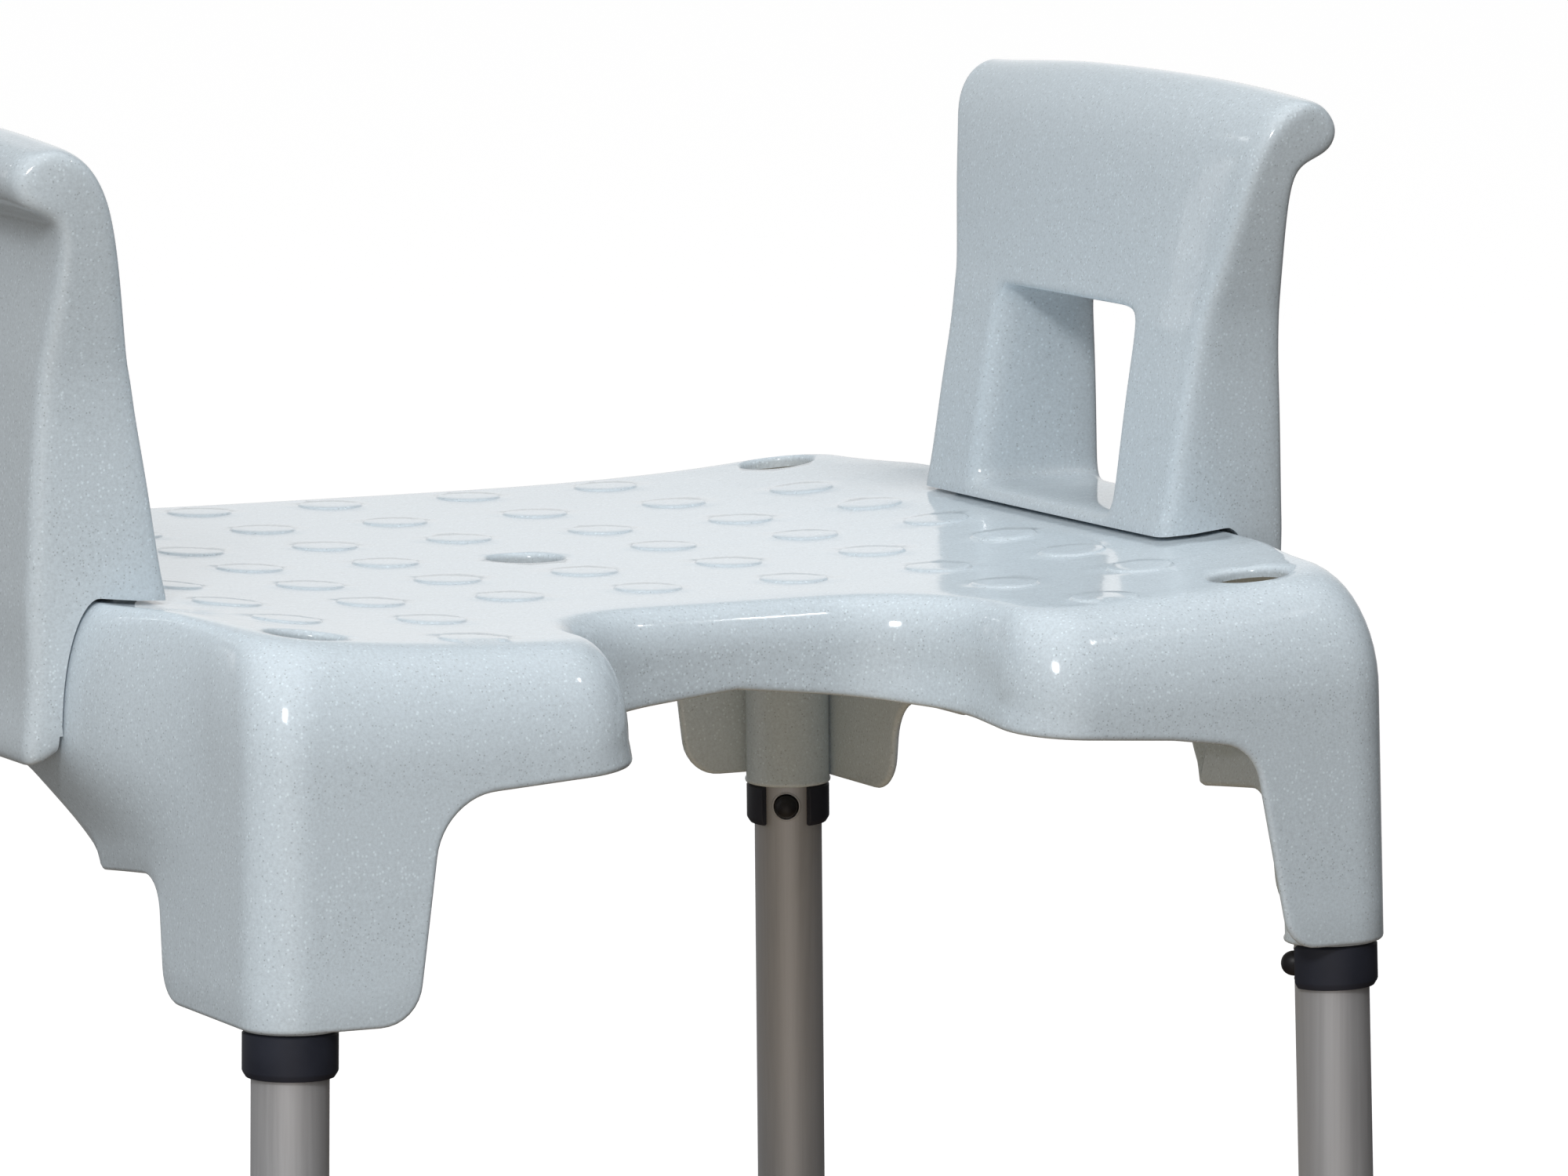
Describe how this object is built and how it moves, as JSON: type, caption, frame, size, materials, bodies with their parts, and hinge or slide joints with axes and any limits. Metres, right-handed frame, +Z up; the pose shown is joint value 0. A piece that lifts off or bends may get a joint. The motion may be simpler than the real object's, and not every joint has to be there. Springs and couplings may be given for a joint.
{
  "type": "shower chair",
  "caption": "Moulded shower chair with a front recess, lift-off armrests and telescopic legs locked by spring push-buttons.",
  "frame": {"origin": "on the floor, at the middle of the chair's footprint box", "axes": "+Z up; the recessed front edge faces -Y; +X is to the right of a viewer who looks at the front edge along +Y"},
  "size_m": [0.5464, 0.5022, 0.599],
  "materials": {
    "seat_plastic": "light blue-grey, fine granite speckle, glossy",
    "armrest_plastic": "light blue-grey, fine granite speckle, glossy",
    "collar_plastic": "navy black, satin",
    "button_plastic": "black, satin",
    "leg_aluminium": "anodised warm grey, satin",
    "guide_aluminium": "mill finish",
    "spring_steel": "bright rolled strip",
    "washer_steel": "zinc plated",
    "foot_rubber": "dark grey, matt"
  },
  "bodies": {
    "seat": {"seat_shell": "seat_plastic", "guide_tube_front_left": "guide_aluminium", "guide_tube_front_right": "guide_aluminium", "guide_tube_rear_right": "guide_aluminium", "guide_tube_rear_left": "guide_aluminium", "collar_front_left": "collar_plastic", "collar_front_right": "collar_plastic", "collar_rear_right": "collar_plastic", "collar_rear_left": "collar_plastic", "spring_clip_front_left": "spring_steel", "spring_clip_front_right": "spring_steel", "spring_clip_rear_right": "spring_steel", "spring_clip_rear_left": "spring_steel"},
    "leg_front_left": {"leg_tube_front_left": "leg_aluminium", "foot_washer_front_left": "washer_steel", "rubber_foot_front_left": "foot_rubber"},
    "button_front_left": {"push_button_front_left": "button_plastic"},
    "leg_front_right": {"leg_tube_front_right": "leg_aluminium", "foot_washer_front_right": "washer_steel", "rubber_foot_front_right": "foot_rubber"},
    "button_front_right": {"push_button_front_right": "button_plastic"},
    "leg_rear_right": {"leg_tube_rear_right": "leg_aluminium", "foot_washer_rear_right": "washer_steel", "rubber_foot_rear_right": "foot_rubber"},
    "button_rear_right": {"push_button_rear_right": "button_plastic"},
    "leg_rear_left": {"leg_tube_rear_left": "leg_aluminium", "foot_washer_rear_left": "washer_steel", "rubber_foot_rear_left": "foot_rubber"},
    "button_rear_left": {"push_button_rear_left": "button_plastic"},
    "armrest_right": {"armrest_right": "armrest_plastic"},
    "armrest_left": {"armrest_left": "armrest_plastic"}
  },
  "joints": [
    {"name": "leg_front_left_slide", "type": "slide", "parent": "seat", "child": "leg_front_left", "axis": [-0.0197, -0.0197, -0.9996], "range_m": [0, 0.09]},
    {"name": "leg_front_right_slide", "type": "slide", "parent": "seat", "child": "leg_front_right", "axis": [0.0197, -0.0197, -0.9996], "range_m": [0, 0.09]},
    {"name": "leg_rear_right_slide", "type": "slide", "parent": "seat", "child": "leg_rear_right", "axis": [0.0197, 0.0197, -0.9996], "range_m": [0, 0.09]},
    {"name": "leg_rear_left_slide", "type": "slide", "parent": "seat", "child": "leg_rear_left", "axis": [-0.0197, 0.0197, -0.9996], "range_m": [0, 0.09]},
    {"name": "button_front_left_press", "type": "slide", "parent": "seat", "child": "button_front_left", "axis": [-0.4997, -0.8658, 0.0269], "range_m": [0, 0.0068], "stiffness_N_per_m": 1500, "springref_m": -0.004, "deforming": ["spring_clip_front_left"]},
    {"name": "button_front_right_press", "type": "slide", "parent": "seat", "child": "button_front_right", "axis": [0.8658, -0.4997, 0.0269], "range_m": [0, 0.0068], "stiffness_N_per_m": 1500, "springref_m": -0.004, "deforming": ["spring_clip_front_right"]},
    {"name": "button_rear_right_press", "type": "slide", "parent": "seat", "child": "button_rear_right", "axis": [0.4997, 0.8658, 0.0269], "range_m": [0, 0.0068], "stiffness_N_per_m": 1500, "springref_m": -0.004, "deforming": ["spring_clip_rear_right"]},
    {"name": "button_rear_left_press", "type": "slide", "parent": "seat", "child": "button_rear_left", "axis": [-0.8658, 0.4997, 0.0269], "range_m": [0, 0.0068], "stiffness_N_per_m": 1500, "springref_m": -0.004, "deforming": ["spring_clip_rear_left"]},
    {"name": "armrest_right_lift", "type": "slide", "parent": "seat", "child": "armrest_right", "axis": [0, 0, 1], "range_m": [0, 0.1]},
    {"name": "armrest_left_lift", "type": "slide", "parent": "seat", "child": "armrest_left", "axis": [0, 0, 1], "range_m": [0, 0.1]}
  ]
}
